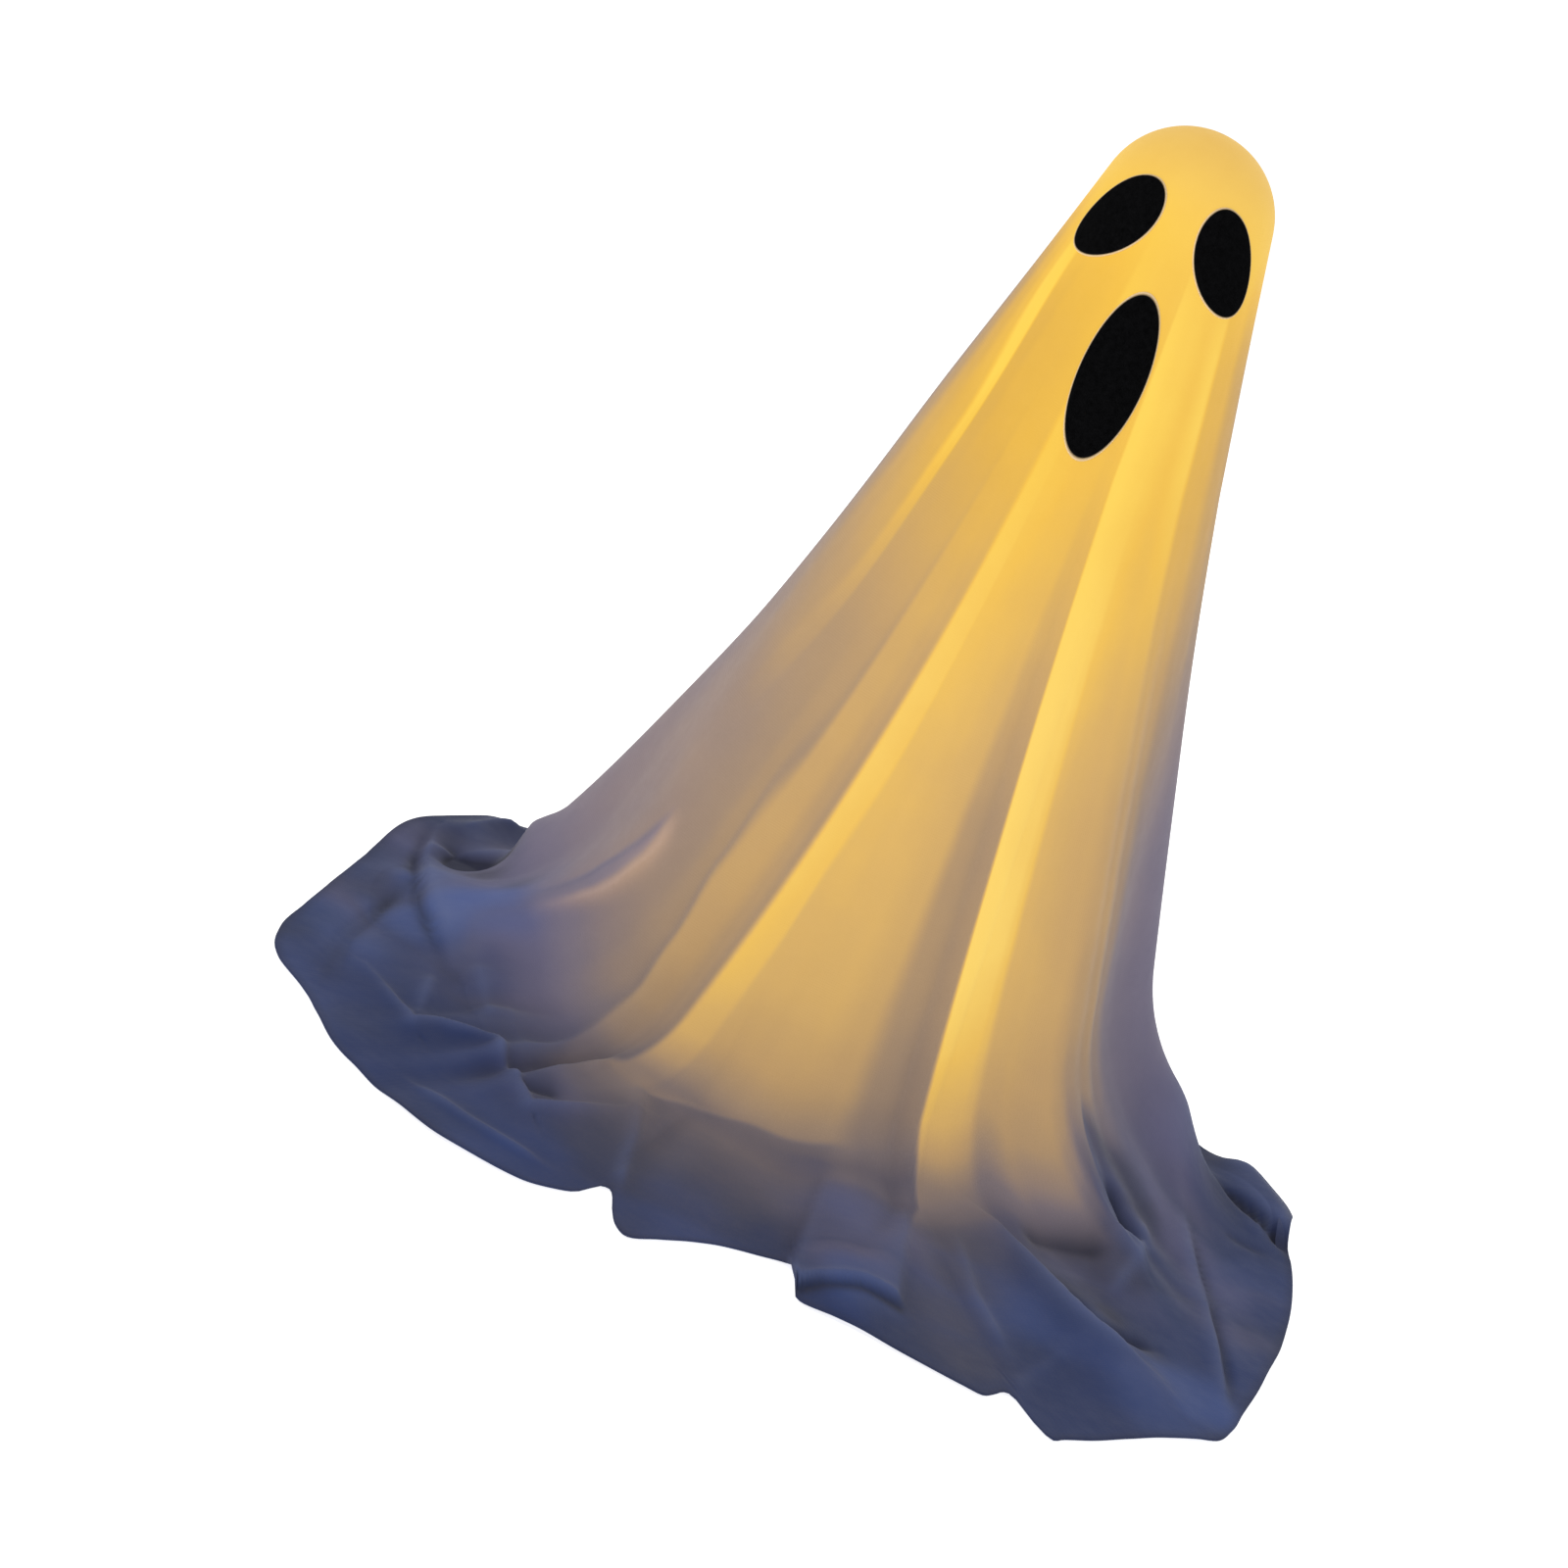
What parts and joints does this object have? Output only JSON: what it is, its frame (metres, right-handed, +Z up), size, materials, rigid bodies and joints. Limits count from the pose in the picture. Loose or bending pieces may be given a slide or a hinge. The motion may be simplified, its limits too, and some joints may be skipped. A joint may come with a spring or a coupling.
{
  "type": "standing ghost decoration",
  "caption": "Draped sheet ghost with a felt face, hung over a head ball on a folding three-legged pole stand and lit from inside by a battery light string.",
  "frame": {"origin": "on the floor on the pole's axis, at the middle of the hub's rubber pad", "axes": "+Z up along the pole, the face towards -Y, +X to the viewer's right"},
  "size_m": [1.1308, 1.2579, 1.0771],
  "materials": {
    "sheet_cloth": "matte",
    "black_felt": "matte",
    "milky_plastic": "satin",
    "bulb": "gloss",
    "wire_lacquer": "satin",
    "pole_aluminium": "satin",
    "leg_paint": "satin",
    "dark_plastic": "matte",
    "rubber": "matte",
    "steel": "satin",
    "tie_nylon": "satin",
    "cell_jacket": "gloss",
    "contact_brass": "satin",
    "board_green": "satin",
    "knob_plastic": "gloss"
  },
  "bodies": {
    "stand": {"base_hub": "dark_plastic", "hub_pad": "rubber", "leg_pins": "steel", "lower_pole": "pole_aluminium", "upper_pole": "pole_aluminium", "head_socket": "milky_plastic", "head_lower_shell": "milky_plastic", "head_upper_shell": "milky_plastic", "light_wire": "wire_lacquer", "light_bulbs": "bulb", "cable_ties": "tie_nylon", "pole_clip": "dark_plastic", "clip_screws": "steel", "battery_case": "dark_plastic", "battery_cell_left": "cell_jacket", "battery_cell_middle": "cell_jacket", "battery_cell_right": "cell_jacket", "contact_plates": "contact_brass", "circuit_board": "board_green"},
    "leg_front": {"leg_front": "leg_paint", "foot_front": "rubber"},
    "leg_rear_right": {"leg_rear_right": "leg_paint", "foot_rear_right": "rubber"},
    "leg_rear_left": {"leg_rear_left": "leg_paint", "foot_rear_left": "rubber"},
    "battery_door": {"battery_door": "dark_plastic"},
    "switch_slider": {"switch_slider": "knob_plastic"},
    "sheet": {"sheet": "sheet_cloth", "eye_left": "black_felt", "eye_right": "black_felt", "mouth": "black_felt"}
  },
  "joints": [
    {"name": "leg_front_fold", "type": "hinge", "parent": "stand", "child": "leg_front", "pos_m": [0, -0.054, 0.048], "axis": [-1, 0, 0], "range_deg": [0, 100]},
    {"name": "leg_rear_right_fold", "type": "hinge", "parent": "stand", "child": "leg_rear_right", "pos_m": [0.04677, 0.027, 0.048], "axis": [0.5, -0.866, 0], "range_deg": [0, 100]},
    {"name": "leg_rear_left_fold", "type": "hinge", "parent": "stand", "child": "leg_rear_left", "pos_m": [-0.04677, 0.027, 0.048], "axis": [0.5, 0.866, 0], "range_deg": [0, 100]},
    {"name": "battery_door_slide", "type": "slide", "parent": "stand", "child": "battery_door", "axis": [0, 0, 1], "range_m": [0, 0.054]},
    {"name": "switch_slide", "type": "slide", "parent": "stand", "child": "switch_slider", "axis": [0, 0, 1], "range_m": [0, 0.004]},
    {"name": "sheet_lift", "type": "slide", "parent": "stand", "child": "sheet", "axis": [0, 0, 1], "range_m": [0, 1.1]}
  ]
}
